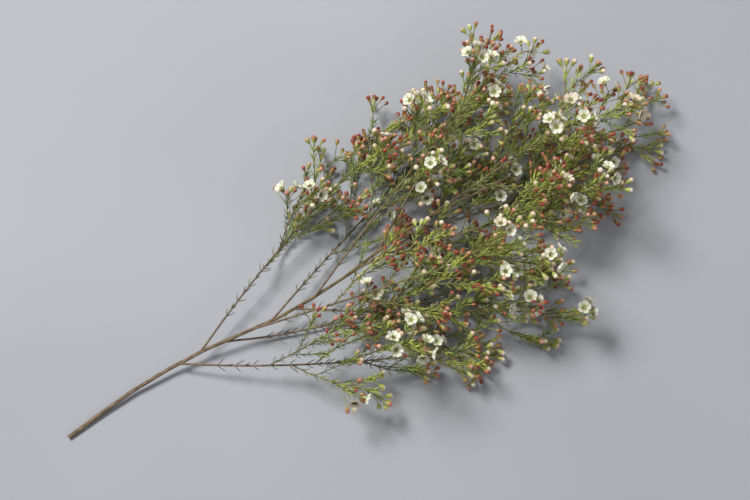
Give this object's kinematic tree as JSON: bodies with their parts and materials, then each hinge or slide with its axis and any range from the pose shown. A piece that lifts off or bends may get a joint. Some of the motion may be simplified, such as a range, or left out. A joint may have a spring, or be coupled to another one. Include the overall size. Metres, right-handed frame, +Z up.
{
  "type": "waxflower stem",
  "caption": "Cut stem of waxflower lying on a surface, with fine needle leaves, round buds and small five-petalled open flowers.",
  "frame": {"origin": "centre of the bounding box's footprint, on the surface that the stem lies on", "axes": "+Y along the stem from its cut end to its tip, +Z up"},
  "size_m": [0.3283, 0.6994, 0.1412],
  "materials": {
    "bark": "matt, finely cracked grey-brown bark",
    "leafy": "waxy green needles, twigs and calyx tubes, with buds from red to cream",
    "petal": "soft waxy white petals, thin enough to let light through, on green calyx tubes"
  },
  "bodies": {
    "root": {"flower_head_01": "petal", "flower_head_02": "petal", "flower_head_03": "petal", "flower_head_04": "petal", "flower_head_05": "petal", "flower_head_06": "petal", "flower_head_07": "petal", "flower_head_08": "petal", "flower_head_09": "petal", "flower_head_10": "petal", "flower_head_11": "petal", "flower_head_12": "petal", "flower_head_13": "petal", "flower_head_14": "petal", "flower_head_15": "petal", "flower_head_16": "petal", "flower_head_17": "petal", "flower_head_18": "petal", "flower_head_19": "petal", "flower_head_20": "petal", "flower_head_21": "petal", "flower_head_22": "petal", "flower_head_23": "petal", "flower_head_24": "petal", "flower_head_25": "petal", "flower_head_26": "petal", "flower_head_27": "petal", "flower_head_28": "petal", "flower_head_29": "petal", "flower_head_30": "petal", "flower_head_31": "petal", "flower_head_32": "petal", "flower_head_33": "petal", "flower_head_34": "petal", "flower_head_35": "petal", "flower_head_36": "petal", "flower_head_37": "petal", "flower_head_38": "petal", "flower_head_39": "petal", "flower_head_40": "petal", "flower_head_41": "petal", "flower_head_42": "petal", "flower_head_43": "petal", "flower_head_44": "petal", "flower_head_45": "petal", "flower_head_46": "petal", "leading_spray": "leafy", "main_stem": "bark", "spray_01": "leafy", "spray_02": "leafy", "spray_03": "leafy", "spray_04": "leafy", "spray_05": "leafy", "spray_06": "leafy", "spray_07": "leafy", "spray_08": "leafy", "spray_09": "leafy", "spray_10": "leafy", "spray_11": "leafy", "spray_12": "leafy"}
  },
  "joints": []
}
